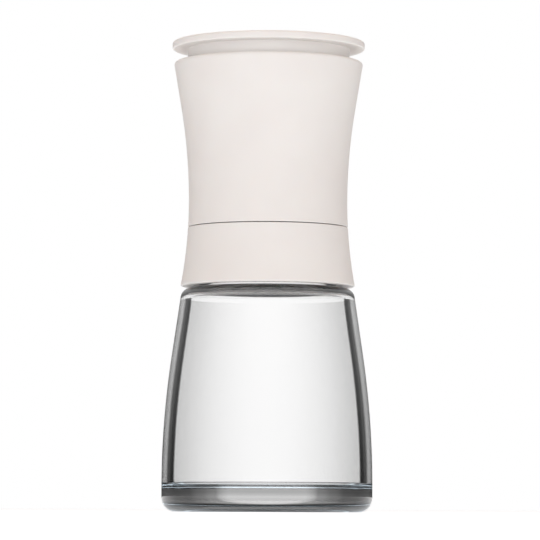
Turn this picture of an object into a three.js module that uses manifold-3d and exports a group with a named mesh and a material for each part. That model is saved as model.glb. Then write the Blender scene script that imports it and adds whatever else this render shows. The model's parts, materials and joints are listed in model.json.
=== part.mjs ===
// A hand-twisted pepper mill: a glass jar, with a moulded head screwed to its neck that carries a ceramic
// grinder at the top, and a push-in lid that keeps the aroma in.
// Millimetres, +Z up. The origin is the middle of the jar's foot.
// The collar stays still on the jar, the grip turns on the collar. The ring burr turns with the grip, and the
// cone burr is held still by a square shaft that stands on the collar's spider.
import * as THREE from 'three';
import { mergeVertices } from 'three/addons/utils/BufferGeometryUtils.js';
import Module from 'manifold-3d';

const wasm = await Module();
wasm.setup();

// ---------------------------------------------------------------- driving dimensions
const height = 140; // with the lid on
const sides = 36; // round pieces are turned with this many sides
const smallSides = 20;
const slip = 0.3; // radial clearance between pieces that slide or turn on each other
const rest = 0.1; // axial gap where one piece rests on another

// jar
const jarRadius = 31.25; // widest, just above the foot
const widestZ = 8;
const shoulderZ = 66.3;
const rimZ = 77.5;
const floorZ = 6.7; // inside
const neckRadius = 20.4;
const neckBore = 17.4;
const jarWall = 2.4; // glass
const footRing = 25; // inner radius of the ring it stands on
const threadPitch = 4.2;
const threadBead = 1.1; // radius of the half-round thread ridges

// head
const collarFootZ = 66.9;
const seamZ = 84.2; // top of the collar
const gripFootZ = 84.6;
const gripTopZ = 134.0;
const waistZ = 92;
const waistRadius = 23.6;
const shellWall = 2.3;
const collarBore = 22.1; // room for the jar's thread
const webZ = 79.0; // the collar's ceiling over the jar's rim
const ledgeZ = 80.7; // the spider stands here
const spigotRadius = 19.2; // the collar's neck, which the grip turns on
const spigotBore = 16.2;
const spigotTopZ = 91.0;
const clipZ = 88.7; // groove for the clip that keeps the grip on the spigot
const clipThickness = 1.2;

// grinder
const flangeZ = 126.3; // underside of the burr housing's flange, on the grip's shelf
const flangeTopZ = 127.9;
const lidBore = 24.45; // in the top of the grip
const burrBottomZ = 111.2;
const burrTopZ = 124.2;
const throatZ = 117.5; // the ring burr is narrowest here
const burrRadius = 15.0;
const toothDepth = 0.8;
const housingRadius = 16.8;
const funnelTopZ = 108.4;
const throatRadius = 12.7; // the opening over the funnel, under the burrs
const funnelFootRadius = 19.6; // inside, and straight for a short way
const coneFootZ = 109.4;
const coneBore = 5.6;
const carrierFootZ = 107.0;
const carrierTopZ = 125.5;
const hubTopZ = 94.0; // top of the spider's hub, under the spring
const hubRadius = 5.2;
const shaftSide = 5;
const shaftTopZ = 123.4;
const studRadius = 2.5;
const studTopZ = 131.2;
const screwCircle = 19.4;
const screws = 3;

// lid
const discRadius = 28.75;
const discZ = 137.8; // underside of the disc
const plugRadius = 24.1;
const plugBore = 21.8;

// ---------------------------------------------------------------- finishes
const finish = (color, roughness, metalness = 0) =>
  new THREE.MeshStandardMaterial({ color, roughness, metalness });
const cream = finish(0xe9e2dc, 0.55);
const clearGlass = finish(0xeef2f2, 0.03);
const ceramic = finish(0xf2efe8, 0.45);
const greyPlastic = finish(0x55565a, 0.5);
const steel = finish(0xb9bbbd, 0.28, 1);
const brass = finish(0xc8a552, 0.3, 1);
const whiteNylon = finish(0xf0f0ee, 0.4);
const silicone = finish(0xd8d6d2, 0.6);

// ---------------------------------------------------------------- shape helpers
// The arc that rounds a corner of an outline, as points.
function rounded(before, corner, after, radius, steps) {
  const back = before.clone().sub(corner).normalize();
  const onward = after.clone().sub(corner).normalize();
  const half = Math.acos(back.dot(onward)) / 2;
  const inward = back.clone().add(onward).normalize();
  const centre = corner.clone().addScaledVector(inward, radius / Math.sin(half));
  const start = corner.clone().addScaledVector(back, radius / Math.tan(half)).sub(centre);
  const turn = Math.sign(back.cross(onward)) * (2 * half - Math.PI);
  return Array.from({ length: steps + 1 }, (_, i) =>
    start.clone().rotateAround(new THREE.Vector2(), (turn * i) / steps).add(centre));
}

// An outline of [radius, height] corners, each with an optional corner radius.
function outline(corners, steps = 1) {
  const at = (i) => {
    const [r, z] = corners[(i + corners.length) % corners.length];
    return new THREE.Vector2(r, z);
  };
  return corners.flatMap(([, , radius], i) =>
    radius ? rounded(at(i - 1), at(i), at(i + 1), radius, steps) : [at(i)]);
}

// A closed ring-shaped body: an outline that keeps off the axis, drawn outside upward, turned about Z.
function ring(corners, segments = sides, steps = 1) {
  const points = outline(corners, steps);
  return new THREE.LatheGeometry([...points, points[0].clone()], segments).rotateX(Math.PI / 2);
}

// A solid body whose outline starts and ends on the axis.
function turned(corners, segments = sides, steps = 1) {
  return new THREE.LatheGeometry(outline(corners, steps), segments).rotateX(Math.PI / 2);
}

// An upright cylinder between two heights, at a place in the XY plane.
function post(radius, z0, z1, segments = smallSides, x = 0, y = 0) {
  return new THREE.CylinderGeometry(radius, radius, z1 - z0, segments)
    .rotateX(Math.PI / 2).translate(x, y, (z0 + z1) / 2);
}

// An upright bar with a square section.
const squareBar = (side, z0, z1) =>
  new THREE.BoxGeometry(side, side, z1 - z0).translate(0, 0, (z0 + z1) / 2);

// Points of a curve r(z), from z0 to z1, for use in an outline.
const swept = (radiusAt, z0, z1, steps) => Array.from({ length: steps + 1 }, (_, i) => {
  const z = z0 + ((z1 - z0) * i) / steps;
  return [radiusAt(z), z];
});

function solid(geometry) {
  const bare = geometry.clone();
  bare.deleteAttribute('normal');
  bare.deleteAttribute('uv');
  const merged = mergeVertices(bare, 1e-4);
  return new wasm.Manifold(new wasm.Mesh({
    numProp: 3,
    vertProperties: merged.attributes.position.array,
    triVerts: new Uint32Array(merged.index.array),
  }));
}

function geometryOf(body) {
  const { vertProperties, triVerts } = body.getMesh();
  const geometry = new THREE.BufferGeometry();
  geometry.setAttribute('position', new THREE.BufferAttribute(vertProperties, 3));
  geometry.setIndex(new THREE.BufferAttribute(triVerts, 1));
  geometry.computeVertexNormals();
  return geometry;
}

const join = (first, ...others) =>
  geometryOf(others.reduce((body, g) => body.add(solid(g)), solid(first)));
const cut = (first, ...others) =>
  geometryOf(others.reduce((body, g) => body.subtract(solid(g)), solid(first)));

class Helix extends THREE.Curve {
  constructor(radius, turns, heightAt, startTurn = 0) {
    super();
    Object.assign(this, { radius, turns, heightAt, startTurn });
  }

  getPoint(t, target = new THREE.Vector3()) {
    const angle = 2 * Math.PI * (this.startTurn + this.turns * t);
    return target.set(
      this.radius * Math.cos(angle), this.radius * Math.sin(angle), this.heightAt(this.turns * t));
  }
}

// A round wire along a curve, with its ends capped.
function wire(curve, radius, steps, corners = 8) {
  const section = new THREE.Shape(Array.from({ length: corners }, (_, i) => {
    const angle = (2 * Math.PI * i) / corners;
    return new THREE.Vector2(radius * Math.cos(angle), radius * Math.sin(angle));
  }));
  return new THREE.ExtrudeGeometry(section, { steps, extrudePath: curve });
}

// A body with tapering, leaning teeth: a toothed disc is extruded, and each level is scaled to radiusAt(z).
function toothed({ radiusAt, z0, z1, teeth, depth, lean, steps = 4 }) {
  const crest = 2; // stands for the tooth tips until the levels are scaled
  const root = 1;
  const disc = new THREE.Shape(Array.from({ length: teeth }, (_, i) =>
    [[0, root], [0.3, root], [0.45, crest], [0.85, crest]].map(([share, radius]) => {
      const angle = (2 * Math.PI * (i + share)) / teeth;
      return new THREE.Vector2(radius * Math.cos(angle), radius * Math.sin(angle));
    })).flat());
  const geometry = new THREE.ExtrudeGeometry(disc, { depth: z1 - z0, steps, bevelEnabled: false });
  const place = geometry.attributes.position;
  for (let i = 0; i < place.count; i++) {
    const atCrest = Math.hypot(place.getX(i), place.getY(i)) > 1.5;
    const level = place.getZ(i) / (z1 - z0);
    const angle = Math.atan2(place.getY(i), place.getX(i)) + lean * level;
    const z = z0 + place.getZ(i);
    const radius = radiusAt(z) - (atCrest ? 0 : depth);
    place.setXYZ(i, radius * Math.cos(angle), radius * Math.sin(angle), z);
  }
  return geometry;
}

// ---------------------------------------------------------------- the outer form
// An arc that bows out from r0 at z0 and runs straight beyond a reach.
function flare(distance, bend, reach) {
  const d = Math.abs(distance);
  return d < reach ? (d * d) / (2 * bend) : (reach * reach) / (2 * bend) + ((d - reach) * reach) / bend;
}

// The hourglass of grip and collar.
const headRadius = (z) =>
  waistRadius + (z > waistZ ? flare(z - waistZ, 168, 28) : flare(z - waistZ, 134, 24));

// The jar's outside above its widest place, and its inside wall, which follows it.
const jarSide = (z) => jarRadius - (z > widestZ ? flare(z - widestZ, 260, 38) : 0);
const jarInside = (z) => jarSide(z) - jarWall;

// ---------------------------------------------------------------- jar
function makeJar() {
  const body = turned([
    [0, 2.3], // the underside is a shallow dome inside a flat standing ring
    [10, 1.85],
    [18, 1.0],
    [footRing - 1.5, 0.2],
    [footRing, 0],
    [jarRadius - 2.2, 0, 1.6],
    [jarRadius, 4.2, 3.2],
    ...swept(jarSide, widestZ, 62, 5),
    [jarSide(65.2), shoulderZ, 3.0],
    [neckRadius, shoulderZ + 0.2, 0.9],
    [neckRadius, rimZ, 0.8],
    [neckBore, rimZ, 0.8],
    [neckBore, shoulderZ - jarWall, 2.0],
    [jarInside(62.5) + 0.4, shoulderZ - jarWall, 2.4],
    ...swept(jarInside, 58, floorZ + 6, 4),
    [jarInside(floorZ), floorZ, 2.0],
    [0, floorZ],
  ], sides, 2);
  const bead = new Helix(neckRadius, 1.25, (turn) => 69.9 + threadPitch * turn);
  return join(body, wire(bead, threadBead, 30, 6));
}

// ---------------------------------------------------------------- the still part of the head
const neckGasket = () => ring([
  [neckRadius - 0.2, rimZ + rest],
  [neckRadius - 0.2, webZ - rest],
  [neckBore + 0.3, webZ - rest],
  [neckBore + 0.3, rimZ + rest],
]);

function makeCollar() {
  const grooveBottom = clipZ - rest;
  const grooveTop = clipZ + clipThickness + rest;
  const grooveRadius = spigotRadius - 1;
  const body = ring([
    [headRadius(collarFootZ) - 0.4, collarFootZ, 0.3],
    ...swept(headRadius, collarFootZ + 0.7, seamZ - 0.5, 5),
    [headRadius(seamZ) - 0.4, seamZ],
    [22.6, seamZ],
    [22.6, seamZ - 0.9], // seat of the glide washer
    [spigotRadius, seamZ - 0.9],
    [spigotRadius, grooveBottom],
    [grooveRadius, grooveBottom],
    [grooveRadius, grooveTop],
    [spigotRadius, grooveTop],
    [spigotRadius, spigotTopZ, 0.5],
    [spigotBore, spigotTopZ, 0.5],
    [spigotBore, ledgeZ],
    [spigotBore - 0.9, ledgeZ],
    [spigotBore - 0.9, webZ],
    [collarBore, webZ, 0.6],
    [collarBore, collarFootZ, 0.4],
  ]);
  const bead = new Helix(collarBore, 1.15, (turn) => 68.78 + threadPitch * turn, 0.15);
  return join(body, wire(bead, threadBead, 28, 6));
}

const glideWasher = () => ring([
  [22.4, seamZ - 0.8], [22.4, gripFootZ - rest],
  [spigotRadius + 0.25, gripFootZ - rest], [spigotRadius + 0.25, seamZ - 0.8],
]);

// An open snap ring in the spigot's groove.
function makeRetainingClip() {
  const z0 = clipZ;
  const z1 = clipZ + clipThickness;
  const whole = ring([[20.9, z0], [20.9, z1], [18.4, z1], [18.4, z0]]);
  const gap = new THREE.BoxGeometry(6, 5, 4).translate(20, 0, (z0 + z1) / 2);
  return cut(whole, gap);
}

// Three spokes carry the hub that holds the shaft, and pepper falls between them.
function makeSpider() {
  const plateTop = ledgeZ + 2.3;
  const rim = ring([
    [spigotBore - 0.1, ledgeZ + rest, 0.2], [spigotBore - 0.1, plateTop, 0.2],
    [14.2, plateTop], [14.2, ledgeZ + rest],
  ]);
  const hub = post(hubRadius, ledgeZ - 0.4, hubTopZ, smallSides);
  const spokes = Array.from({ length: 3 }, (_, i) =>
    new THREE.BoxGeometry(10.6, 3, 2.2).translate(9.7, 0, ledgeZ + 1.2).rotateZ((2 * Math.PI * i) / 3));
  const body = join(rim, hub, ...spokes);
  return cut(body, squareBar(shaftSide + 0.3, 70, 100));
}

// A square steel bar with a flat head below and a threaded stud on top.
function makeShaft() {
  const bar = squareBar(shaftSide, ledgeZ - 1.6, shaftTopZ);
  const head = post(hubRadius - 0.6, ledgeZ - 1.8, ledgeZ - 0.5, smallSides);
  const stud = turned([
    [0, shaftTopZ - 0.6], [studRadius, shaftTopZ - 0.6], [studRadius, studTopZ, 0.4], [0, studTopZ],
  ], smallSides);
  return join(bar, head, stud);
}

const springWasher = () => ring([
  [6.0, hubTopZ + rest], [6.0, hubTopZ + 0.9], [3.75, hubTopZ + 0.9], [3.75, hubTopZ + rest],
], smallSides);

// A compression spring with closed ends.
function makeSpring() {
  const wireRadius = 0.45;
  const low = hubTopZ + 0.9 + rest + wireRadius;
  const high = carrierFootZ - 2 * rest - wireRadius;
  const turns = 7;
  const closedPitch = 2 * wireRadius + 0.12;
  const openPitch = (high - low - 2 * closedPitch) / (turns - 2);
  const heightAt = (turn) => low + closedPitch * Math.min(turn, 1)
    + openPitch * Math.min(Math.max(turn - 1, 0), turns - 2) + closedPitch * Math.max(turn - turns + 1, 0);
  return wire(new Helix(4.85, turns, heightAt), wireRadius, 63, 5);
}

// ---------------------------------------------------------------- the cone, which slides on the shaft
const coneRadius = (z) => (z < throatZ ? 9.5 + (z - throatZ) * 0.235 : 9.5 + (z - throatZ) * 0.313);

function makeConeBurr() {
  const body = toothed({
    radiusAt: coneRadius, z0: coneFootZ, z1: burrTopZ, teeth: 14, depth: toothDepth, lean: 0.55,
  });
  return cut(body, post(coneBore, coneFootZ - 5, burrTopZ + 5, smallSides));
}

// The plastic core of the cone: it has the square bore, and its three blades feed the pepper in.
function makeConeCarrier() {
  const core = ring([
    [7.2, carrierFootZ, 0.4],
    [7.2, coneFootZ - rest],
    [coneBore - rest, coneFootZ - rest],
    [coneBore - rest, burrTopZ + rest],
    [8.8, burrTopZ + rest],
    [8.8, carrierTopZ, 0.4],
    [2.9, carrierTopZ],
    [2.9, carrierFootZ],
  ], smallSides);
  const blades = Array.from({ length: 3 }, (_, i) =>
    new THREE.BoxGeometry(3.6, 1.4, 2.1).rotateX(0.5).translate(8.4, 0, carrierFootZ + 1.1)
      .rotateZ((2 * Math.PI * (i + 0.5)) / 3));
  return cut(join(core, ...blades), squareBar(shaftSide + 0.5, carrierFootZ - 5, carrierTopZ + 5));
}

// ---------------------------------------------------------------- the knob that sets the grind
const insertRadius = 3.75;

function makeKnob() {
  const z0 = carrierTopZ + rest;
  const lobes = 6;
  const steps = 48;
  const plan = new THREE.Shape(Array.from({ length: steps }, (_, i) => {
    const angle = (2 * Math.PI * i) / steps;
    const radius = 6.9 + 0.7 * Math.cos(lobes * angle);
    return new THREE.Vector2(radius * Math.cos(angle), radius * Math.sin(angle));
  }));
  const grip = new THREE.ExtrudeGeometry(plan, {
    depth: 3.2, bevelThickness: 0.5, bevelSize: 0.5, bevelOffset: -0.5, bevelSegments: 1,
  }).translate(0, 0, z0 + 0.5);
  return cut(grip, post(insertRadius + 0.15, z0 - 5, z0 + 10, smallSides));
}

const knobInsert = () => ring([
  [insertRadius, carrierTopZ + rest, 0.2],
  [insertRadius, carrierTopZ + 4.4, 0.2],
  [studRadius + 0.15, carrierTopZ + 4.4],
  [studRadius + 0.15, carrierTopZ + rest],
], smallSides);

// ---------------------------------------------------------------- the turning part of the head
const screwPlaces = Array.from({ length: screws }, (_, i) => {
  const angle = Math.PI / 2 + (2 * Math.PI * i) / screws;
  return [screwCircle * Math.cos(angle), screwCircle * Math.sin(angle), angle];
});

function makeGripShell() {
  const inside = (z) => Math.min(headRadius(z) - shellWall, 22.9);
  const body = ring([
    [headRadius(gripFootZ) - 0.35, gripFootZ],
    ...swept(headRadius, gripFootZ + 0.45, gripTopZ - 1.2, 8),
    [headRadius(gripTopZ), gripTopZ, 0.8],
    [lidBore, gripTopZ, 0.4],
    [lidBore, flangeZ - rest],
    [22.9, flangeZ - rest],
    ...swept(inside, 112, clipZ - 0.3, 4),
    [spigotRadius + slip, clipZ - 0.3],
    [spigotRadius + slip, gripFootZ],
  ]);
  const bosses = screwPlaces.flatMap(([x, y, angle]) => [
    post(2.1, 114, flangeZ - rest, 16, x, y),
    new THREE.BoxGeometry(3.6, 1.8, 12).translate(22.2, 0, 120.1).rotateZ(angle),
  ]);
  const holes = screwPlaces.map(([x, y]) => post(1.3, 117, 140, 12, x, y));
  return cut(join(body, ...bosses), ...holes);
}

// The burr's seat and its flange, let into the top of the grip.
function makeBurrHousing() {
  const seat = burrRadius + 0.2;
  const retainerSeat = 17.0;
  const body = ring([
    [throatRadius, funnelTopZ + 1.2],
    [throatRadius + 0.8, funnelTopZ + rest],
    [housingRadius, funnelTopZ + rest, 0.5],
    [housingRadius, flangeZ],
    [lidBore - 0.25, flangeZ],
    [lidBore - 0.25, flangeTopZ, 0.3],
    [retainerSeat, flangeTopZ],
    [retainerSeat, burrTopZ + 0.3],
    [seat, burrTopZ + 0.3],
    [seat, burrBottomZ - rest],
    [throatRadius, burrBottomZ - rest],
  ]);
  return cut(body, ...screwPlaces.map(([x, y]) => post(1.45, 120, 130, 12, x, y)));
}

// The funnel clips over the foot of the burr housing and reaches down around the collar's spigot.
const makeFunnel = () => ring([
  [funnelFootRadius, spigotTopZ + slip],
  [funnelFootRadius + 1.3, spigotTopZ + slip],
  [funnelFootRadius + 1.3, 100.6, 1],
  [18.2, 104.8, 1],
  [18.2, funnelTopZ + 3.6, 0.4],
  [housingRadius + 0.2, funnelTopZ + 3.6],
  [housingRadius + 0.2, funnelTopZ],
  [throatRadius + 0.9, funnelTopZ, 0.3],
  [funnelFootRadius, 100.2],
]);

const ringBore = (z) => 10.3 + Math.abs(z - throatZ) * (z < throatZ ? 0.323 : 0.257);

function makeRingBurr() {
  const blank = ring([
    [burrRadius, burrBottomZ, 0.3], [burrRadius, burrTopZ, 0.3], [8, burrTopZ], [8, burrBottomZ],
  ]);
  // The bore's teeth are the gaps of a toothed core, so its crests are the core's roots.
  const core = toothed({
    radiusAt: (z) => ringBore(z) + toothDepth,
    z0: burrBottomZ - 0.2,
    z1: burrTopZ + 0.2,
    teeth: 18,
    depth: toothDepth,
    lean: -0.5,
  });
  return cut(blank, core);
}

const ringRetainer = () => ring([
  [16.8, burrTopZ + 0.4, 0.2], [16.8, flangeTopZ - 1.4, 0.4],
  [12.9, flangeTopZ - 1.4, 0.6], [12.9, burrTopZ + 0.4],
]);

// A pan-head screw with a cross recess, at the origin of its own axis.
function makeScrew(x, y) {
  const z0 = flangeTopZ + rest;
  const body = turned([
    [0, z0 - 9], [0.5, z0 - 9], [1.15, z0 - 7.8], [1.15, z0], [1.9, z0], [1.9, z0 + 1.1, 0.7], [0, z0 + 1.1],
  ], 16);
  const slot = [0, Math.PI / 2].map((angle) =>
    new THREE.BoxGeometry(2.2, 0.5, 1.2).translate(0, 0, z0 + 1.1).rotateZ(angle));
  return cut(body, ...slot).translate(x, y, 0);
}

// ---------------------------------------------------------------- lid
const sealZ = 131.2;
const makeLid = () => turned([
  [0, 137.5],
  [plugBore, 137.5, 0.3],
  [plugBore, flangeTopZ + 0.3, 0.3],
  [plugRadius, flangeTopZ + 0.3, 0.3],
  [plugRadius, sealZ - 0.75],
  [plugRadius - 1.15, sealZ - 0.75],
  [plugRadius - 1.15, sealZ + 0.75],
  [plugRadius, sealZ + 0.75],
  [plugRadius, discZ, 0.4],
  [discRadius, discZ, 0.8],
  [discRadius, height, 1.2],
  [0, height],
]);

const lidSeal = () => ring([
  [23.65, sealZ - 0.6], [24.25, sealZ], [23.65, sealZ + 0.6], [23.05, sealZ],
]);

// ---------------------------------------------------------------- assembly
const mill = new THREE.Group();

function add(name, geometry, material) {
  const mesh = new THREE.Mesh(geometry, material);
  mesh.name = name;
  mill.add(mesh);
}

add('glass_jar', makeJar(), clearGlass);
add('neck_gasket', neckGasket(), silicone);
add('collar', makeCollar(), cream);
add('glide_washer', glideWasher(), whiteNylon);
add('retaining_clip', makeRetainingClip(), steel);
add('shaft_spider', makeSpider(), greyPlastic);
add('drive_shaft', makeShaft(), steel);
add('spring_washer', springWasher(), steel);
add('cone_spring', makeSpring(), steel);
add('cone_burr', makeConeBurr(), ceramic);
add('cone_carrier', makeConeCarrier(), greyPlastic);
add('grind_knob', makeKnob(), greyPlastic);
add('knob_insert', knobInsert(), brass);
add('grip_shell', makeGripShell(), cream);
add('burr_housing', makeBurrHousing(), greyPlastic);
add('hopper_funnel', makeFunnel(), greyPlastic);
add('ring_burr', makeRingBurr(), ceramic);
add('ring_retainer', ringRetainer(), greyPlastic);
screwPlaces.forEach(([x, y], i) => add(`housing_screw_${i + 1}`, makeScrew(x, y), steel));
add('lid', makeLid(), cream);
add('lid_seal', lidSeal(), silicone);

export default mill;
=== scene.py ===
"""Looks of a hand-twist pepper mill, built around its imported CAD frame.

Blender works in metres here, with +Z up and the origin in the middle of the jar's foot. Outlines of turned
pieces are in millimetres, as such pieces are drawn: a radius, a height and, where the corner is rounded, the
radius of its fillet. Each fine mesh stands for the CAD node of the same place and rides on that node's body.
"""
import json
import math

import bmesh
import bpy
from mathutils import Matrix, Vector


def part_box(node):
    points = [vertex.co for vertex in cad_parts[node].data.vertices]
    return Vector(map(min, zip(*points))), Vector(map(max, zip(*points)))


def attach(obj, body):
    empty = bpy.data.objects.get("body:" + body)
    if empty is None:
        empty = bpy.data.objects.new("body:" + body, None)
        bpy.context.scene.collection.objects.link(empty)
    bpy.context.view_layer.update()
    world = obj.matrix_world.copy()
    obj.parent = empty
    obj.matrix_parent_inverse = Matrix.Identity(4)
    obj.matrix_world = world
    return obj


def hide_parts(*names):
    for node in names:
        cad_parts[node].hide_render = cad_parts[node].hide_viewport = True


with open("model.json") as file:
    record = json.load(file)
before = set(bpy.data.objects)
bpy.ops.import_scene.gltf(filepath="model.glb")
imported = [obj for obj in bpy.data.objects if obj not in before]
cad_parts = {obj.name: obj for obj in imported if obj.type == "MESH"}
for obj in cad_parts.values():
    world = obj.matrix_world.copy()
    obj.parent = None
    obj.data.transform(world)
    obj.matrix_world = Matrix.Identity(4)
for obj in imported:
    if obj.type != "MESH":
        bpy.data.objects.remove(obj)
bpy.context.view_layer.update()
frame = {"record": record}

MM = 0.001
TURN = 2 * math.pi
GUARD = 0.12  # share of a fillet's radius, from the end of its arc to the close point beside it


# ---------------------------------------------------------------- shape helpers
def low(node):
    """Lowest height of a CAD node, in millimetres."""
    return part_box(node)[0].z / MM


def high(node):
    """Highest height of a CAD node, in millimetres."""
    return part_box(node)[1].z / MM


def reach(node):
    """Largest radius of a round CAD node, in millimetres."""
    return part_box(node)[1].x / MM


def fillet(before, corner, after, radius, steps):
    """The arc that rounds a corner of an outline, with a close point on each side to keep flats flat."""
    back = (before - corner).normalized()
    onward = (after - corner).normalized()
    half = back.angle(onward) / 2
    centre = corner + (back + onward).normalized() * (radius / math.sin(half))
    start = corner + back * (radius / math.tan(half)) - centre
    sweep = (math.pi - 2 * half) * (1 if back.cross(onward) < 0 else -1)
    arc = []
    for i in range(steps + 1):
        turn = sweep * i / steps
        spoke = Vector((start.x * math.cos(turn) - start.y * math.sin(turn),
                        start.x * math.sin(turn) + start.y * math.cos(turn)))
        arc.append(centre + spoke)
    guard = GUARD * radius
    return [arc[0] + back * guard, *arc, arc[-1] + onward * guard]


def outline(corners, steps=6):
    """A closed outline of (radius, height) corners, each with an optional corner radius, as points."""
    points = []
    for i, corner in enumerate(corners):
        here = Vector(corner[:2])
        if len(corner) > 2:
            before = Vector(corners[i - 1][:2])
            after = Vector(corners[(i + 1) % len(corners)][:2])
            points += fillet(before, here, after, corner[2], steps)
        else:
            points.append(here)
    return points


def swept(radius_at, z0, z1, steps):
    """Points of a curve r(z)."""
    heights = [z0 + (z1 - z0) * i / steps for i in range(steps + 1)]
    return [(radius_at(z), z) for z in heights]


def finish_mesh(name, mesh, smooth=True):
    """Puts a bmesh into a new object, with its faces outward."""
    bmesh.ops.recalc_face_normals(mesh, faces=mesh.faces)
    data = bpy.data.meshes.new(name)
    mesh.to_mesh(data)
    mesh.free()
    for face in data.polygons:
        face.use_smooth = smooth
    piece = bpy.data.objects.new(name, data)
    bpy.context.scene.collection.objects.link(piece)
    return piece


def revolve(name, points, segments=192, form=None, part=1.0, start=0.0):
    """Turns an outline about Z. form(radius, height, angle) may change a point's radius and height.

    A point on the axis becomes one vertex. With part below 1 the piece is open and its two ends are capped.
    """
    mesh = bmesh.new()
    count = segments if part == 1.0 else segments + 1
    rings = []
    for point in points:
        if point[0] < 1e-6:
            rings.append([mesh.verts.new((0, 0, point[1] * MM))])
            continue
        ring = []
        for k in range(count):
            angle = start + TURN * part * k / segments
            r, z = form(point[0], point[1], angle) if form else (point[0], point[1])
            ring.append(mesh.verts.new((r * math.cos(angle) * MM, r * math.sin(angle) * MM, z * MM)))
        rings.append(ring)
    for i, ring in enumerate(rings):
        after = rings[(i + 1) % len(rings)]
        if len(ring) == 1 and len(after) == 1:
            continue
        for k in range(segments):
            here = [ring[k % len(ring)], ring[(k + 1) % len(ring)]]
            there = [after[(k + 1) % len(after)], after[k % len(after)]]
            corners = list(dict.fromkeys(here + there))
            mesh.faces.new(corners)
    if part != 1.0:
        mesh.faces.new([ring[0] for ring in rings])
        mesh.faces.new([ring[-1] for ring in rings])
    return finish_mesh(name, mesh)


def prism(name, plan, z0, z1):
    """An upright solid over a closed plan of (x, y) points, in millimetres."""
    mesh = bmesh.new()
    bottom = [mesh.verts.new((x * MM, y * MM, z0 * MM)) for x, y in plan]
    top = [mesh.verts.new((x * MM, y * MM, z1 * MM)) for x, y in plan]
    mesh.faces.new(list(reversed(bottom)))
    mesh.faces.new(top)
    for k in range(len(plan)):
        after = (k + 1) % len(plan)
        mesh.faces.new((bottom[k], bottom[after], top[after], top[k]))
    return finish_mesh(name, mesh)


def bar(name, length, width, z0, z1, x=0.0, y=0.0, turn=0.0):
    """A rectangular bar whose plan is centred on (x, y) and then turned about the origin."""
    corners = [(-1, -1), (1, -1), (1, 1), (-1, 1)]
    plan = []
    for a, b in corners:
        px = x + a * length / 2
        py = y + b * width / 2
        plan.append((px * math.cos(turn) - py * math.sin(turn), px * math.sin(turn) + py * math.cos(turn)))
    return prism(name, plan, z0, z1)


def disc(name, radius, z0, z1, x=0.0, y=0.0, segments=96):
    """An upright cylinder that cuts holes or adds posts."""
    plan = [(x + radius * math.cos(TURN * k / segments), y + radius * math.sin(TURN * k / segments))
            for k in range(segments)]
    return prism(name, plan, z0, z1)


def combine(piece, others, operation):
    """Joins (UNION) or cuts (DIFFERENCE) a piece with others, which are used up."""
    for other in others:
        step = piece.modifiers.new("combine", "BOOLEAN")
        step.operation = operation
        step.solver = "EXACT"
        step.object = other
        bpy.context.view_layer.update()
        done = bpy.data.meshes.new_from_object(piece.evaluated_get(bpy.context.evaluated_depsgraph_get()))
        piece.modifiers.clear()
        piece.data = done
        bpy.data.objects.remove(other)
    for face in piece.data.polygons:
        face.use_smooth = True
    return piece


def soften(piece, width, segments=3, angle=32):
    """Rounds the hard edges of a piece."""
    bevel = piece.modifiers.new("soften", "BEVEL")
    bevel.width = width * MM
    bevel.segments = segments
    bevel.limit_method = "ANGLE"
    bevel.angle_limit = math.radians(angle)
    bevel.harden_normals = False
    even(piece)
    return piece


def even(piece):
    """Keeps flats shaded flat where they meet small roundings."""
    normals = piece.modifiers.new("even", "WEIGHTED_NORMAL")
    normals.keep_sharp = True
    normals.weight = 80
    return piece


# ---------------------------------------------------------------- the outer form, as in the CAD model
WAIST_Z = 92.0
WAIST_RADIUS = 23.6
WIDEST_Z = 8.0
GLASS_WALL = 2.4
SHELL_WALL = 2.3


def flare(distance, bend, straight_from):
    """How far an arc bows out over a distance, running straight beyond straight_from."""
    d = abs(distance)
    if d < straight_from:
        return d * d / (2 * bend)
    return straight_from ** 2 / (2 * bend) + (d - straight_from) * straight_from / bend


def head_radius(z):
    """The hourglass of grip and collar."""
    bend, straight_from = (168, 28) if z > WAIST_Z else (134, 24)
    return WAIST_RADIUS + flare(z - WAIST_Z, bend, straight_from)


def jar_side(z):
    """The jar's outside above its widest place."""
    return reach("glass_jar") - (flare(z - WIDEST_Z, 260, 38) if z > WIDEST_Z else 0)


def jar_inside(z):
    """The jar's inside wall, which follows the outside."""
    return jar_side(z) - GLASS_WALL


# ---------------------------------------------------------------- material helpers
def new_material(name):
    """A new material, its node tree and its shader."""
    material = bpy.data.materials.new(name)
    material.use_nodes = True
    tree = material.node_tree
    return material, tree, tree.nodes["Principled BSDF"]


def linear(red, green, blue):
    """A colour given as 8-bit display values, as a shader colour."""
    def one(value):
        share = value / 255
        return share / 12.92 if share <= 0.04045 else ((share + 0.055) / 1.055) ** 2.4
    return (one(red), one(green), one(blue), 1.0)


def noise(tree, scale, detail=3.0, roughness=0.55):
    """3-D noise in the row frame. Scale is in features per metre."""
    place = tree.nodes.new("ShaderNodeTexCoord")
    texture = tree.nodes.new("ShaderNodeTexNoise")
    texture.inputs["Scale"].default_value = scale
    texture.inputs["Detail"].default_value = detail
    texture.inputs["Roughness"].default_value = roughness
    tree.links.new(place.outputs["Object"], texture.inputs["Vector"])
    return texture.outputs["Fac"]


def blend_colours(tree, factor, first, second, low_end=0.35, high_end=0.65):
    """A colour that runs from first to second as the factor rises."""
    ramp = tree.nodes.new("ShaderNodeValToRGB")
    ramp.color_ramp.elements[0].position = low_end
    ramp.color_ramp.elements[0].color = first
    ramp.color_ramp.elements[1].position = high_end
    ramp.color_ramp.elements[1].color = second
    tree.links.new(factor, ramp.inputs["Fac"])
    return ramp.outputs["Color"]


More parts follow.
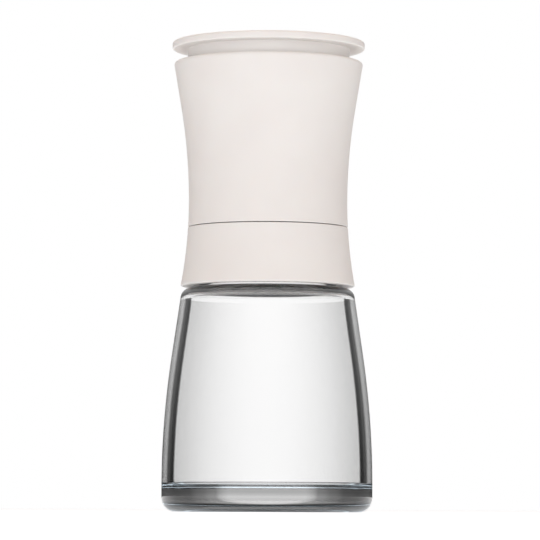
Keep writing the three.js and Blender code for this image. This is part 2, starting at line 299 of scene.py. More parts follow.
def ranged(tree, factor, lowest, highest):
    """A number that runs between two values as the factor runs from 0.3 to 0.7."""
    change = tree.nodes.new("ShaderNodeMapRange")
    change.inputs["From Min"].default_value = 0.3
    change.inputs["From Max"].default_value = 0.7
    change.inputs["To Min"].default_value = lowest
    change.inputs["To Max"].default_value = highest
    tree.links.new(factor, change.inputs["Value"])
    return change.outputs["Result"]


def add_bump(tree, shader, height, distance, strength=1.0):
    """Lets a height pattern shape the shader's normal. Distance is in metres."""
    bump = tree.nodes.new("ShaderNodeBump")
    bump.inputs["Strength"].default_value = strength
    bump.inputs["Distance"].default_value = distance
    tree.links.new(height, bump.inputs["Height"])
    tree.links.new(bump.outputs["Normal"], shader.inputs["Normal"])


# ---------------------------------------------------------------- materials
def moulded(name, colour, darker, roughness, grain, grain_depth, subsurface=0.0):
    """Moulded plastic: faint colour drift, uneven gloss and a fine spark-eroded grain."""
    material, tree, shader = new_material(name)
    drift = noise(tree, 45, 2)
    tree.links.new(blend_colours(tree, drift, darker, colour), shader.inputs["Base Color"])
    tree.links.new(ranged(tree, noise(tree, 160, 4), *roughness), shader.inputs["Roughness"])
    add_bump(tree, shader, noise(tree, grain, 2), grain_depth)
    shader.inputs["IOR"].default_value = 1.49
    if subsurface:
        shader.inputs["Subsurface Weight"].default_value = subsurface
        shader.inputs["Subsurface Radius"].default_value = (1.0, 0.72, 0.55)
        shader.inputs["Subsurface Scale"].default_value = 1.2 * MM
    return material


def cream_plastic():
    """The matt plastic of lid, grip and collar, in which light spreads a little."""
    return moulded("cream_plastic", linear(241, 238, 235), linear(238, 234, 231), (0.44, 0.52),
                   grain=2600, grain_depth=0.00001, subsurface=0.12)


def stepped(tree, factor, stops):
    """A grey that follows (position, value) stops as the factor rises."""
    ramp = tree.nodes.new("ShaderNodeValToRGB")
    points = ramp.color_ramp.elements
    while len(points) < len(stops):
        points.new(0.5)
    for point, (position, value) in zip(points, stops):
        point.position = position
        point.color = (value, value, value, 1.0)
    tree.links.new(factor, ramp.inputs["Fac"])
    return ramp.outputs["Color"]


def mix_by(tree, factor, first, second):
    """The first shader where the factor is 0 and the second where it is 1."""
    mix = tree.nodes.new("ShaderNodeMixShader")
    tree.links.new(factor, mix.inputs["Fac"])
    tree.links.new(first, mix.inputs[1])
    tree.links.new(second, mix.inputs[2])
    return mix.outputs[0]


def maths(tree, operation, first, second):
    """A math node on two values, each a number or a socket."""
    node = tree.nodes.new("ShaderNodeMath")
    node.operation = operation
    for socket, value in zip(node.inputs, (first, second)):
        if isinstance(value, (int, float)):
            socket.default_value = value
        else:
            tree.links.new(value, socket)
    return node.outputs["Value"]


SHOULDER_FROM = 62.6  # above this the jar turns in to its neck
WALL_FROM = 8.5  # above this the inside is plain wall
HEEL_DEPTH = 3.6  # how far the heel reaches in from the jar's largest radius
INWARD = 0.1  # slope of the cone that divides the wall's inner face from its outer one
MARGIN = 0.3  # how far outside the jar's largest radius that cone starts


def jar_zones(tree):
    """Where a place on the jar is, which sets where the glass's painted shade goes.

    Three masks are 1 on the wall's inner face, on the heel of the base, and at shoulder and neck. The fourth
    value is the height as a share of the heel's.
    """
    place = tree.nodes.new("ShaderNodeTexCoord")
    parts = tree.nodes.new("ShaderNodeSeparateXYZ")
    tree.links.new(place.outputs["Object"], parts.inputs[0])
    height = parts.outputs["Z"]
    widest = reach("glass_jar")
    x = maths(tree, "MULTIPLY", parts.outputs["X"], parts.outputs["X"])
    y = maths(tree, "MULTIPLY", parts.outputs["Y"], parts.outputs["Y"])
    radius = maths(tree, "SQRT", maths(tree, "ADD", x, y), 0.0)
    leaned = maths(tree, "ADD", radius, maths(tree, "MULTIPLY", height, INWARD))
    within = maths(tree, "LESS_THAN", leaned, (widest + MARGIN) * MM)
    upright = maths(tree, "MULTIPLY", maths(tree, "GREATER_THAN", height, WALL_FROM * MM),
                    maths(tree, "LESS_THAN", height, SHOULDER_FROM * MM))
    on_inner = maths(tree, "MULTIPLY", within, upright)
    share_of_heel = maths(tree, "DIVIDE", height, WIDEST_Z * MM)
    on_heel = maths(tree, "MULTIPLY", maths(tree, "LESS_THAN", height, WIDEST_Z * MM),
                    maths(tree, "GREATER_THAN", radius, (widest - HEEL_DEPTH) * MM))
    on_shoulder = maths(tree, "GREATER_THAN", height, SHOULDER_FROM * MM)
    return on_inner, on_heel, on_shoulder, share_of_heel


def choose_grey(tree, mask, first, second):
    """The first colour where the mask is 0 and the second where it is 1."""
    choose = tree.nodes.new("ShaderNodeMix")
    choose.data_type = "RGBA"
    tree.links.new(mask, choose.inputs["Factor"])
    colours = [socket for socket in choose.inputs if socket.type == "RGBA"]
    tree.links.new(first, colours[0])
    tree.links.new(second, colours[1])
    return next(socket for socket in choose.outputs if socket.type == "RGBA")


def finish_glass(tree, shader, painted_dark_line):
    """Mixes in black as a painted dark line near the critical angle, and lets the lamps shine through."""
    painted_black = tree.nodes.new("ShaderNodeBsdfDiffuse")
    painted_black.inputs["Color"].default_value = (0.0, 0.0, 0.0, 1.0)
    clear = tree.nodes.new("ShaderNodeBsdfTransparent")
    path = tree.nodes.new("ShaderNodeLightPath")
    body = mix_by(tree, painted_dark_line, shader.outputs["BSDF"], painted_black.outputs["BSDF"])
    surface = mix_by(tree, path.outputs["Is Shadow Ray"], body, clear.outputs["BSDF"])
    tree.links.new(surface, tree.nodes["Material Output"].inputs["Surface"])


def clear_glass():
    """Soda-lime glass: clear, with a slow pressed waviness, darker where light crosses a lot of it.
    Its colour carries painted shade: grey where a wall is seen on edge, and a dark band and wedge at the
    heel.

    A facing of 0 is a wall seen square on, and 1 is a wall seen on edge.
    """
    material, tree, shader = new_material("clear_glass")
    edge = tree.nodes.new("ShaderNodeLayerWeight")
    edge.inputs["Blend"].default_value = 0.5
    facing = edge.outputs["Facing"]
    on_inner, on_heel, on_shoulder, share_of_heel = jar_zones(tree)
    # Painted shade: the outer face greys as it turns on edge.
    outer = stepped(tree, facing, [(0.0, 1.0), (0.5, 1.0), (0.62, 0.72), (0.97, 0.15)])
    # Painted shade: the inner face greys as it turns on edge, to black at its silhouette.
    inner = stepped(tree, facing, [(0.0, 1.0), (0.1, 0.88), (0.2, 0.77), (0.34, 0.61), (0.52, 0.47),
                                   (0.68, 0.4), (0.74, 0.0)])
    # From within the glass, the wall mirrors near its critical angle, which falls at a facing of 0.25; this
    # grey is painted shade that darkens towards it.
    critical = stepped(tree, facing, [(0.0, 1.0), (0.1, 0.93), (0.2, 0.85), (0.24, 0.75)])
    side = tree.nodes.new("ShaderNodeNewGeometry")
    inner = choose_grey(tree, side.outputs["Backfacing"], inner, critical)
    # Painted shade at the heel of the base: a dark wedge by facing, times a dark band by height.
    painted_heel_wedge = stepped(tree, facing, [(0.0, 1.0), (0.07, 0.97), (0.1, 0.6), (0.125, 0.22), (0.2, 0.12),
                                  (0.5, 0.14), (0.75, 0.4), (1.0, 0.6)])
    painted_heel_band = stepped(tree, share_of_heel, [(0.0, 0.8), (0.28, 0.85), (0.34, 1.0), (0.5, 1.0), (0.72, 0.62),
                                          (0.9, 0.62), (1.0, 0.9)])
    heel = maths(tree, "MULTIPLY", painted_heel_wedge, painted_heel_band)
    shoulder = stepped(tree, facing, [(0.0, 1.0), (1.0, 0.99)])
    walls = choose_grey(tree, on_inner, outer, inner)
    walls = choose_grey(tree, on_shoulder, walls, shoulder)
    grey = choose_grey(tree, on_heel, walls, heel)
    # Painted shade: this grey darkens the glass's base colour and, as its specular tint, its reflections.
    tree.links.new(grey, shader.inputs["Base Color"])
    tree.links.new(grey, shader.inputs["Specular Tint"])
    shader.inputs["Transmission Weight"].default_value = 1.0
    shader.inputs["Roughness"].default_value = 0.0
    shader.inputs["IOR"].default_value = 1.5
    add_bump(tree, shader, noise(tree, 55, 1, 0.4), 0.00015, 0.25)
    absorb = tree.nodes.new("ShaderNodeVolumeAbsorption")
    absorb.inputs["Color"].default_value = (0.0, 0.0, 0.0, 1.0)
    absorb.inputs["Density"].default_value = 6.0
    tree.links.new(absorb.outputs["Volume"], tree.nodes["Material Output"].inputs["Volume"])
    # Painted shade: where the wall's inner face is seen from within just past its critical angle, black is
    # mixed in as a dark line.
    line = stepped(tree, facing, [(0.0, 0.0), (0.226, 0.0), (0.235, 0.93), (0.267, 0.9), (0.28, 0.3),
                                  (0.32, 0.1)])
    from_within = maths(tree, "MULTIPLY", on_inner, side.outputs["Backfacing"])
    finish_glass(tree, shader, maths(tree, "MULTIPLY", from_within, line))
    return material


def ceramic():
    """Unglazed sintered ceramic: dry, faintly granular."""
    material, tree, shader = new_material("white_ceramic")
    drift = noise(tree, 900, 3)
    tree.links.new(blend_colours(tree, drift, linear(232, 229, 221), linear(241, 239, 232)),
                   shader.inputs["Base Color"])
    tree.links.new(ranged(tree, noise(tree, 2400, 3), 0.45, 0.62), shader.inputs["Roughness"])
    add_bump(tree, shader, noise(tree, 4200, 3), 0.00001, 0.6)
    shader.inputs["IOR"].default_value = 1.7
    return material


def metal(name, colour, darker, roughness, ring_scale=1500):
    """Turned metal, with the fine rings that the lathe leaves and a little tarnish."""
    material, tree, shader = new_material(name)
    shader.inputs["Metallic"].default_value = 1.0
    tree.links.new(blend_colours(tree, noise(tree, 260, 4), darker, colour), shader.inputs["Base Color"])
    place = tree.nodes.new("ShaderNodeTexCoord")
    rings = tree.nodes.new("ShaderNodeTexWave")
    rings.wave_type = "BANDS"
    rings.bands_direction = "Z"
    rings.inputs["Scale"].default_value = ring_scale
    rings.inputs["Distortion"].default_value = 1.5
    tree.links.new(place.outputs["Object"], rings.inputs["Vector"])
    tree.links.new(ranged(tree, rings.outputs["Fac"], *roughness), shader.inputs["Roughness"])
    add_bump(tree, shader, rings.outputs["Fac"], 0.000003)
    return material


def silicone():
    """Soft translucent silicone, slightly greasy."""
    material, tree, shader = new_material("silicone")
    tree.links.new(blend_colours(tree, noise(tree, 120, 2), linear(214, 212, 207), linear(226, 225, 221)),
                   shader.inputs["Base Color"])
    tree.links.new(ranged(tree, noise(tree, 300, 3), 0.38, 0.5), shader.inputs["Roughness"])
    add_bump(tree, shader, noise(tree, 1800, 2), 0.000008)
    shader.inputs["Subsurface Weight"].default_value = 0.25
    shader.inputs["Subsurface Radius"].default_value = (1.0, 1.0, 1.0)
    shader.inputs["Subsurface Scale"].default_value = 1.0 * MM
    return material


CREAM = cream_plastic()
GLASS = clear_glass()
CERAMIC = ceramic()
GREY = moulded("grey_plastic", linear(62, 62, 65), linear(54, 54, 57), (0.4, 0.52), grain=2200,
               grain_depth=0.00001)
NYLON = moulded("white_nylon", linear(238, 238, 234), linear(230, 230, 226), (0.3, 0.4), grain=1500,
                grain_depth=0.000005, subsurface=0.15)
STEEL = metal("steel", linear(200, 201, 203), linear(176, 177, 180), (0.22, 0.36))
BRASS = metal("brass", linear(222, 190, 120), linear(196, 160, 90), (0.22, 0.36))
SILICONE = silicone()

FINISHES = {
    "cream_plastic": CREAM,
    "clear_glass": GLASS,
    "white_ceramic": CERAMIC,
    "grey_plastic": GREY,
    "white_nylon": NYLON,
    "steel": STEEL,
    "brass": BRASS,
    "silicone": SILICONE,
}
SLOT_OF = {entry["node"]: entry["material_slot"] for entry in frame["record"]["subparts"]}
BODY_OF = {node: body for body, nodes in frame["record"]["behaviour"]["bodies"].items() for node in nodes}


def stand_for(piece, node):
    """A fine piece takes a CAD node's place, body, slot and finish."""
    piece.data.materials.clear()
    piece.data.materials.append(FINISHES[SLOT_OF[node]])
    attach(piece, BODY_OF[node])
    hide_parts(node)
    return piece


# ---------------------------------------------------------------- threads
PITCH = 4.2
RIDGE = 1.0  # how far a thread ridge stands out of its wall
RIDGE_HALF_WIDTH = 1.15
FADE = 0.06  # of a turn, in which a ridge tapers out at each end


def ridge_height(z, angle, first_z, first_turn, turns):
    """Height over the wall of a right-handed, half-round thread ridge that tapers out at both ends."""
    best = 0.0
    share = angle / TURN
    for lap in range(-1, 3):
        along = share + lap - first_turn
        if not 0 <= along <= turns:
            continue
        away = abs(z - (first_z + PITCH * along)) / RIDGE_HALF_WIDTH
        if away < 1:
            fade = min(1.0, along / FADE, (turns - along) / FADE)
            best = max(best, RIDGE * fade * math.cos(away * math.pi / 2) ** 0.8)
    return best


# ---------------------------------------------------------------- jar
def make_jar():
    """The jar, standing on a ring round its hollowed foot."""
    widest = reach("glass_jar")
    foot_ring = 25
    heel_radius = 4.15
    neck = 20.4
    neck_bore = 17.4
    shoulder = 66.3
    rim = high("glass_jar")
    floor = 6.7
    ceiling = shoulder - 2.2
    points = outline([
        (0, 2.3),
        (6, 2.15),
        (12, 1.7),
        (18, 1.0, 8.0),
        (foot_ring, 0.0, 1.6),
        (widest, 0, heel_radius),
        *swept(jar_side, WIDEST_Z, 62.0, 30),
        (jar_side(66.0), shoulder, 3.2),
        (neck, shoulder + 0.25, 1.0),
        *swept(lambda z: neck, 68.2, 76.4, 40),
        (neck, rim, 0.8),
        (neck_bore, rim, 0.8),
        (neck_bore, ceiling, 2.0),
        (jar_inside(ceiling) + 0.15, ceiling, 1.3),
        *swept(jar_inside, 60.5, floor + 3.5, 14),
        (jar_inside(floor), floor, 2.0),
        (14, floor + 0.1),
        (0, floor + 0.5),
    ], steps=10)

    def threaded(r, z, angle):
        if abs(r - neck) < 0.01 and 68 < z < rim:
            return r + ridge_height(z, angle, first_z=69.9, first_turn=0.0, turns=1.25), z
        return r, z

    return stand_for(revolve("jar_glass", points, 256, threaded), "glass_jar")


make_jar()


# ---------------------------------------------------------------- head, still part
def make_collar():
    """The still part of the head, with the spigot that the grip turns on."""
    foot = low("collar")
    seam = low("grip_shell") - 0.4
    land = seam + 0.15
    washer_recess = 22.6
    top = high("collar")
    bore = 22.1
    web = 79.0
    ledge = 80.7
    spigot = 19.2
    groove = 88.6
    spigot_bore = 16.2
    web_bore = 15.3
    points = outline([
        (head_radius(foot), foot, 0.45),
        *swept(head_radius, foot + 1.2, seam - 1.2, 14),
        (head_radius(seam), land, 0.2),
        (washer_recess, land, 0.15),
        (washer_recess, seam - 0.9),
        (spigot, seam - 0.9, 0.2),
        (spigot, groove),
        (spigot - 1, groove),
        (spigot - 1, groove + 1.4),
        (spigot, groove + 1.4),
        (spigot, top, 0.5),
        (spigot_bore, top, 0.5),
        (spigot_bore, ledge),
        (web_bore, ledge, 0.2),
        (web_bore, web, 0.4),
        (bore, web, 0.8),
        *swept(lambda z: bore, 76.5, 68.3, 36),
        (bore, foot, 0.5),
    ], steps=6)

    def threaded(r, z, angle):
        if abs(r - bore) < 0.01 and 67.5 < z < 77.5:
            return r - ridge_height(z, angle, first_z=68.78, first_turn=0.15, turns=1.15), z
        return r, z

    return stand_for(even(revolve("collar_shell", points, 224, threaded)), "collar")


make_collar()


def make_grip():
    """The turning shell, with a shelf for the burr housing and a floor over the glide washer."""
    foot = low("grip_shell")
    top = high("grip_shell")
    lid_bore = 24.45
    shelf = 126.2
    shelf_bore = 22.9
    floor = 88.4
    floor_bore = 19.5
    points = outline([
        (head_radius(foot), foot, 0.2),
        *swept(head_radius, foot + 1.2, top - 2.4, 30),
        (head_radius(top), top, 0.9),
        (lid_bore, top, 0.5),
        (lid_bore, shelf, 0.2),
        (shelf_bore, shelf),
        *swept(lambda z: min(head_radius(z) - SHELL_WALL, shelf_bore), 113, floor, 14),
        (floor_bore, floor),
        (floor_bore, foot, 0.4),
    ], steps=7)
    return stand_for(even(revolve("grip_skin", points, 224)), "grip_shell")


make_grip()


def make_lid():
    """A disc on a hollow plug, with a groove for the seal."""
    top = high("lid")
    disc_radius = reach("lid")
    under = 137.8
    plug = 24.1
    plug_bore = 21.8
    ceiling = 137.5
    foot = low("lid")
    seal_z = 131.2
    half_groove = 0.75
    groove_floor = plug - 1.15
    points = outline([
        (0, ceiling),
        (plug_bore, ceiling, 1.0),
        (plug_bore, foot, 0.5),
        (plug, foot, 0.5),
        (plug, seal_z - half_groove, 0.1),
        (groove_floor, seal_z - half_groove),
        (groove_floor, seal_z + half_groove),
        (plug, seal_z + half_groove, 0.1),
        (plug, under, 0.3),
        (disc_radius - 0.1, under, 0.5),
        (disc_radius, top, 0.75),
        (0, top),
    ], steps=7)
    return stand_for(even(revolve("lid_cap", points, 224)), "lid")


make_lid()


# ---------------------------------------------------------------- small rings
def make_ring(name, node, corners, segments=160, steps=5):
    """A plain turned ring that stands for a node."""
    return stand_for(even(revolve(name, outline(corners, steps), segments)), node)


def make_small_rings():
    """Gasket, glide washer, spring washer and lid seal."""
    foot, top = low("neck_gasket"), high("neck_gasket")
    make_ring("gasket_ring", "neck_gasket", [
        (20.2, foot, 0.25), (20.2, top, 0.25), (17.7, top, 0.25), (17.7, foot, 0.25),
    ])
    foot, top = low("glide_washer"), high("glide_washer")
    make_ring("glide_ring", "glide_washer", [
        (22.4, foot, 0.1), (22.4, top, 0.1), (19.45, top, 0.1), (19.45, foot, 0.1),
    ])
    foot, top = low("spring_washer"), high("spring_washer")
    make_ring("spring_ring", "spring_washer", [
        (6.0, foot, 0.12), (6.0, top, 0.12), (3.75, top, 0.12), (3.75, foot, 0.12),
    ], 96)
    middle = (low("lid_seal") + high("lid_seal")) / 2
    bead = (high("lid_seal") - low("lid_seal")) / 2
    seal_radius = 23.65
    around = 16
    spokes = [TURN * k / around for k in range(around)]
    section = [(seal_radius + bead * math.cos(spoke), middle + bead * math.sin(spoke)) for spoke in spokes]
    stand_for(revolve("seal_ring", section, 160), "lid_seal")


make_small_rings()


def make_clip():
    """An open snap ring, with a 5 mm gap towards +X."""
    foot, top = low("retaining_clip"), high("retaining_clip")
    outer, inner = 20.9, 18.4
    gap = 5.0
    half_gap = math.asin(gap / (outer + inner))
    corners = [(outer, foot, 0.2), (outer, top, 0.2), (inner, top, 0.2), (inner, foot, 0.2)]
    ring = revolve("snap_ring", outline(corners, 4), 180, part=1 - 2 * half_gap / TURN, start=half_gap)
    stand_for(even(ring), "retaining_clip")


make_clip()


# ---------------------------------------------------------------- spider, shaft and spring
SHAFT_SIDE = 5.0


def square_bore(clearance, z0, z1):
    """A bar that cuts the shaft's square hole, this much wider than the shaft."""
    side = SHAFT_SIDE + clearance
    return bar("square_bore", side, side, z0, z1)


def make_spider():
    """A rim, three spokes and a hub with a square hole that keeps the shaft from turning."""
    foot = 81.0
    plate = 83.0
    outer, inner = 16.1, 14.2
    hub_radius = 5.2
    rim = revolve("spider_hub", outline([
        (outer, foot, 0.3), (outer, plate, 0.3), (inner, plate, 0.3), (inner, foot, 0.3),
    ], 4), 160)
    hub = disc("hub", hub_radius, low("shaft_spider"), high("shaft_spider"))
    spokes = [bar("spoke", 10.6, 3.0, foot - 0.2, plate - 0.05, x=9.7, turn=TURN * i / 3) for i in range(3)]
    combine(rim, [hub, *spokes], "UNION")
    combine(rim, [square_bore(0.3, 70, 100)], "DIFFERENCE")
    stand_for(soften(rim, 0.25), "shaft_spider")


make_spider()


def screw_ridges(radius, depth, pitch, z0, z1):
    """A form that cuts V grooves of a right-handed thread into a wall of this radius."""
    def form(r, z, angle):
        if abs(r - radius) > 0.01 or not z0 < z < z1:
            return r, z
        share = (z / pitch - angle / TURN) % 1.0
        return r - depth * abs(2 * share - 1), z
    return form


def make_shaft():
    """A square bar with a round head below and a threaded stud on top."""
    shoulder = 122.8
    top = high("drive_shaft")
    foot = low("drive_shaft")
    stud_radius = 2.5
    thread_depth = 0.4
    shaft = bar("shaft_bar", SHAFT_SIDE, SHAFT_SIDE, foot + 0.2, 123.4)
    combine(shaft, [disc("head", 4.6, foot, foot + 1.3)], "UNION")
    stud = revolve("stud", [
        (0, shoulder), (stud_radius, shoulder), *swept(lambda z: stud_radius, 123.5, top - 0.5, 74),
        (stud_radius - thread_depth, top), (0, top),
    ], 72, screw_ridges(stud_radius, thread_depth, pitch=1.0, z0=123.6, z1=top - 0.4))
    combine(shaft, [stud], "UNION")
    stand_for(soften(shaft, 0.12, 2, 50), "drive_shaft")


make_shaft()


def make_spring():
    """Seven turns of wire with closed ends."""
    wire = 0.45  # radius
    bottom = low("cone_spring") + wire
    top = high("cone_spring") - wire
    turns = 7
    closed = 2 * wire + 0.12
    opened = (top - bottom - 2 * closed) / (turns - 2)
    mean = 4.85
    around = 14
    mesh = bmesh.new()
    rings = []
    steps = 420
    for i in range(steps + 1):
        turn = turns * i / steps
        middle = min(max(turn - 1, 0), turns - 2)
        z = bottom + closed * min(turn, 1) + opened * middle + closed * max(turn - turns + 1, 0)
        angle = TURN * turn
        ring = []
        for k in range(around):
            spoke = TURN * k / around
            r = mean + wire * math.cos(spoke)
            height = z + wire * math.sin(spoke)
            ring.append(mesh.verts.new((r * math.cos(angle) * MM, r * math.sin(angle) * MM, height * MM)))
        rings.append(ring)
    for first, second in zip(rings, rings[1:]):
        for k in range(around):
            after = (k + 1) % around
            mesh.faces.new((first[k], first[after], second[after], second[k]))
    mesh.faces.new(rings[0])
    mesh.faces.new(rings[-1])
    stand_for(finish_mesh("spring_coil", mesh), "cone_spring")


make_spring()


# ---------------------------------------------------------------- burrs and their seats
TOOTH_DEPTH = 0.8
THROAT_Z = 117.5  # both burrs change slope here
CONE_TEETH = 14
RING_TEETH = 18


def tooth_share(angle, level, teeth, lean):
    """How far out a place lies between the inner (0) and outer (1) level of leaning teeth."""
    place = ((angle - lean * level) / TURN * teeth) % 1.0
    rise = min(max((place - 0.3) / 0.15, 0.0), 1.0)
    fall = min(max((place - 0.85) / 0.15, 0.0), 1.0)
    share = rise - fall
    return share * share * (3 - 2 * share)


def cone_radius(z):
    """Over the crests of the cone's teeth."""
    slope = 0.235 if z < THROAT_Z else 0.313
    return 9.5 + (z - THROAT_Z) * slope


def ring_bore(z):
    """Over the crests of the ring's teeth."""
    slope = 0.323 if z < THROAT_Z else 0.257
    return 10.3 + abs(z - THROAT_Z) * slope


def make_cone_burr():
    """The cone that the shaft holds still."""
    foot, top = low("cone_burr"), high("cone_burr")
    bore = 5.6

    def teeth(r, z, angle):
        if r < bore + 0.3:
            return r, z
        share = tooth_share(angle, (z - foot) / (top - foot), CONE_TEETH, lean=0.55)
        return r - TOOTH_DEPTH * (1 - share), z

    points = [(bore, foot), (cone_radius(foot) - 0.3, foot), *swept(cone_radius, foot + 0.3, top - 0.3, 30),
              (cone_radius(top) - 0.3, top), (bore, top)]
    stand_for(revolve("cone_teeth", points, CONE_TEETH * 24, teeth), "cone_burr")


def make_ring_burr():
    """The ring that turns round the cone, with its crests inward."""
    foot, top = low("ring_burr"), high("ring_burr")
    outer = 15.0

    def teeth(r, z, angle):
        if r > outer - 1:
            return r, z
        share = tooth_share(angle, (z - foot) / (top - foot), RING_TEETH, lean=-0.5)
        return r + TOOTH_DEPTH * share, z

    points = [(outer, foot + 0.3), (outer, top - 0.3), (outer - 0.3, top), *swept(ring_bore, top, foot, 30),
              (outer - 0.3, foot)]
    stand_for(revolve("ring_teeth", points, RING_TEETH * 20, teeth), "ring_burr")


make_cone_burr()
make_ring_burr()


def make_carrier():
    """The cone's core, with three leaning blades that feed peppercorns into the burrs."""
    foot, top = low("cone_carrier"), high("cone_carrier")
    shelf = low("cone_burr") - 0.3
    neck = 5.3
    blade_lean = 0.5
    core = revolve("carrier_core", outline([
        (7.2, foot, 0.4), (7.2, shelf, 0.2), (neck, shelf), (neck, top - 1.2), (8.8, top - 1.2, 0.1),
        (8.8, top, 0.4), (2.9, top), (2.9, foot),
    ], 4), 112)
    blades = []
    for i in range(3):
        blade = bar("blade", 3.6, 1.4, -1.05, 1.05)
        blade.data.transform(Matrix.Rotation(blade_lean, 4, "X"))
        blade.data.transform(Matrix.Translation((8.4 * MM, 0, (foot + 1.1) * MM)))
        blade.data.transform(Matrix.Rotation(TURN * (i + 0.5) / 3, 4, "Z"))
        blades.append(blade)
    combine(core, blades, "UNION")
    combine(core, [square_bore(0.5, foot - 5, top + 5)], "DIFFERENCE")
    stand_for(soften(core, 0.15, 2), "cone_carrier")


make_carrier()


def make_knob():
    """A six-lobed finger knob with a brass insert."""
    foot, top = low("grind_knob"), high("grind_knob")
    bore = 3.9
    grip = 6.9
    lobe = 0.7

    def lobes(r, z, angle):
        if r < bore + 0.3:
            return r, z
        return r + lobe * math.cos(6 * angle) * r / grip, z

    points = outline([(bore, foot), (grip, foot, 0.6), (grip, top, 0.7), (bore, top, 0.15)], 6)
    stand_for(even(revolve("knob_grip", points, 192, lobes)), "grind_knob")
    foot, top = low("knob_insert"), high("knob_insert")
    make_ring("insert_sleeve", "knob_insert", [
        (3.75, foot, 0.2), (3.75, top, 0.2), (2.65, top, 0.25), (2.65, foot, 0.25),
    ], 96)


make_knob()


SCREW_CIRCLE = 19.4
SCREWS = 3


def screw_place(i):
    """Where housing screw i stands, counted from 0."""
    angle = TURN / 4 + TURN * i / SCREWS
    return SCREW_CIRCLE * math.cos(angle), SCREW_CIRCLE * math.sin(angle)


def make_housing():
    """The ring burr's seat with its flange, the funnel under it and the ring that holds the burr in."""
    foot, top = low("burr_housing"), high("burr_housing")
    flange = top - 1.6
    body = revolve("housing_seat", outline([
        (12.7, 109.6), (13.5, foot), (16.8, foot, 0.5), (16.8, flange, 0.3), (24.2, flange, 0.2),
        (24.2, top, 0.4), (17.0, top, 0.3), (17.0, 124.5), (15.2, 124.5, 0.2), (15.2, 110.9),
        (12.7, 110.9, 0.2),
    ], 5), 200)
    holes = [disc("hole", 1.45, 120, 130, *screw_place(i), segments=32) for i in range(SCREWS)]
    combine(body, holes, "DIFFERENCE")
    stand_for(even(body), "burr_housing")
    foot, top = low("hopper_funnel"), high("hopper_funnel")
    make_ring("funnel_cone", "hopper_funnel", [
        (19.6, foot, 0.3), (20.9, foot, 0.3), (20.9, 100.6, 1.5), (18.2, 104.8, 1.5), (18.2, top, 0.4),
        (17.0, top, 0.2), (17.0, 108.4), (13.6, 108.4, 0.2), (19.6, 100.2, 1.0),
    ], 200)
    foot, top = low("ring_retainer"), high("ring_retainer")
    make_ring("retainer_ring", "ring_retainer", [
        (16.8, foot, 0.2), (16.8, top, 0.4), (12.9, top, 0.6), (12.9, foot, 0.2),
    ], 192)


make_housing()


def make_screws():
    """Pan-head screws with crossed recesses."""
    for i in range(SCREWS):
        node = f"housing_screw_{i + 1}"
        foot, top = low(node), high(node)
        seat = top - 1.1
        shank = 1.15
        points = [(0, foot), (0.5, foot), *swept(lambda z: shank, foot + 1.2, seat - 0.3, 70),
                  (shank, seat), (1.9, seat), (1.9, seat + 0.4), (1.75, seat + 0.8), (1.4, top - 0.06),
                  (0, top)]
        ridges = screw_ridges(shank, depth=0.25, pitch=0.9, z0=foot + 1.1, z1=seat - 0.25)
        screw = revolve(f"pan_screw_{i + 1}", points, 48, ridges)
        recess = [bar("recess", 2.2, 0.5, top - 0.6, top + 1, turn=TURN * k / 4) for k in range(2)]
        combine(screw, recess, "DIFFERENCE")
        x, y = screw_place(i)
        screw.data.transform(Matrix.Translation((x * MM, y * MM, 0)))
        stand_for(even(screw), node)


make_screws()


# ---------------------------------------------------------------- studio
ZENITH = 1.0  # strength that the lighting surround gains from the horizon to straight up
HORIZON = 0.1
MIRRORED_ZENITH = 2.6  # the same for the surround that gloss mirrors
MIRRORED_HORIZON = 0.02
WHITE = (1.0, 1.0, 1.0, 1.0)
LIT_COLOUR = (1.02, 0.84, 0.735, 1.0)
LAMP_COLOUR = (0.985, 1.01, 1.045)
MIDDLE = (0, 0, 0.07)  # what the lamps point at


def make_floor():
    """A wide sheet of white paper that gives off part of its own light, to stay white behind the mill."""
    mesh = bmesh.new()
    bmesh.ops.create_grid(mesh, x_segments=1, y_segments=1, size=30)
    floor = finish_mesh("floor", mesh, smooth=False)
    material, tree, shader = new_material("floor_paper")
    tree.links.new(blend_colours(tree, noise(tree, 3, 2), linear(240, 249, 254), linear(242, 250, 255)),
                   shader.inputs["Base Color"])
    shader.inputs["Roughness"].default_value = 0.9
    shader.inputs["Specular IOR Level"].default_value = 0.1
    shader.inputs["Emission Color"].default_value = (0.93, 1.0, 1.06, 1.0)
    shader.inputs["Emission Strength"].default_value = 0.46
    floor.data.materials.append(material)


def area_light(name, place, width, tall, power):
    """A soft lamp that lights the mill and is itself never seen, mirrored or seen through glass."""
    light = bpy.data.lights.new(name, "AREA")
    light.shape = "RECTANGLE"
    light.size = width
    light.size_y = tall
    light.energy = power
    light.color = LAMP_COLOUR
    lamp = bpy.data.objects.new(name, light)
    lamp.location = place
    lamp.visible_camera = False
    lamp.visible_glossy = False
    lamp.visible_transmission = False
    lamp.rotation_euler = (Vector(MIDDLE) - Vector(place)).to_track_quat("-Z", "Y").to_euler()
    bpy.context.scene.collection.objects.link(lamp)


def brightness_by_height(tree, upward, zenith, horizon, power):
    """A strength that rises from the horizon to straight up."""
    raised = maths(tree, "POWER", upward, power)
    scaled = maths(tree, "MULTIPLY", raised, zenith)
    return maths(tree, "ADD", scaled, horizon)


def surround(tree, colour, strength):
    """A background shader whose strength is a number or a socket."""
    background = tree.nodes.new("ShaderNodeBackground")
    background.inputs["Color"].default_value = colour
    if isinstance(strength, float):
        background.inputs["Strength"].default_value = strength
    else:
        tree.links.new(strength, background.inputs["Strength"])
    return background.outputs[0]


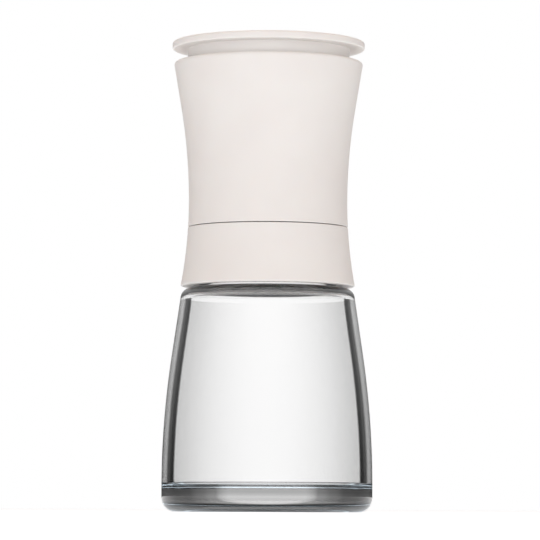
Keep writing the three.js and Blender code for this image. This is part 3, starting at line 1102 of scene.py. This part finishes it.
def make_world():
    """A white surround to look at and through.

    What lights the mill is warm, and dimmer towards the horizon. Gloss mirrors a bright ceiling over a dark
    horizon.
    """
    world = bpy.data.worlds.new("studio")
    bpy.context.scene.world = world
    world.use_nodes = True
    tree = world.node_tree
    tree.nodes.clear()
    direction = tree.nodes.new("ShaderNodeTexCoord")
    split = tree.nodes.new("ShaderNodeSeparateXYZ")
    tree.links.new(direction.outputs["Generated"], split.inputs[0])
    upward = maths(tree, "MAXIMUM", split.outputs["Z"], 0.0)
    seen = surround(tree, WHITE, 1.0)
    soft = brightness_by_height(tree, upward, ZENITH, HORIZON, 2.0)
    lit = surround(tree, LIT_COLOUR, soft)
    steep = brightness_by_height(tree, upward, MIRRORED_ZENITH, MIRRORED_HORIZON, 1.0)
    mirrored = surround(tree, WHITE, steep)
    path = tree.nodes.new("ShaderNodeLightPath")
    through = maths(tree, "MAXIMUM", path.outputs["Is Camera Ray"], path.outputs["Is Transmission Ray"])
    reflected = mix_by(tree, path.outputs["Is Glossy Ray"], lit, mirrored)
    output = tree.nodes.new("ShaderNodeOutputWorld")
    tree.links.new(mix_by(tree, through, reflected, seen), output.inputs["Surface"])


def make_camera():
    """Eye level with the table, from about a metre away, looking slightly up and leaning a little."""
    distance = 1.05
    eye = 0.0008
    image_width = 540
    focal_pixels = 3535
    aim_height = 0.0719
    aim_side = 0.00066
    lean = math.radians(0.24)
    sensor = 36.0
    data = bpy.data.cameras.new("camera")
    data.sensor_width = sensor
    data.lens = sensor * focal_pixels / image_width
    data.clip_start = 0.01
    camera = bpy.data.objects.new("camera", data)
    camera.location = (0, -distance, eye)
    look = Vector((aim_side, 0, aim_height)) - camera.location
    upright = look.to_track_quat("-Z", "Y").to_matrix()
    camera.rotation_euler = (Matrix.Rotation(-lean, 3, look) @ upright).to_euler()
    bpy.context.scene.collection.objects.link(camera)
    bpy.context.scene.camera = camera


make_floor()
make_world()
area_light("key", (-0.3, -1.6, 0.42), width=0.9, tall=0.7, power=5.5)
area_light("fill", (0.5, -1.5, 0.4), width=0.8, tall=0.7, power=2.9)
make_camera()
bpy.context.scene.view_settings.view_transform = "Standard"
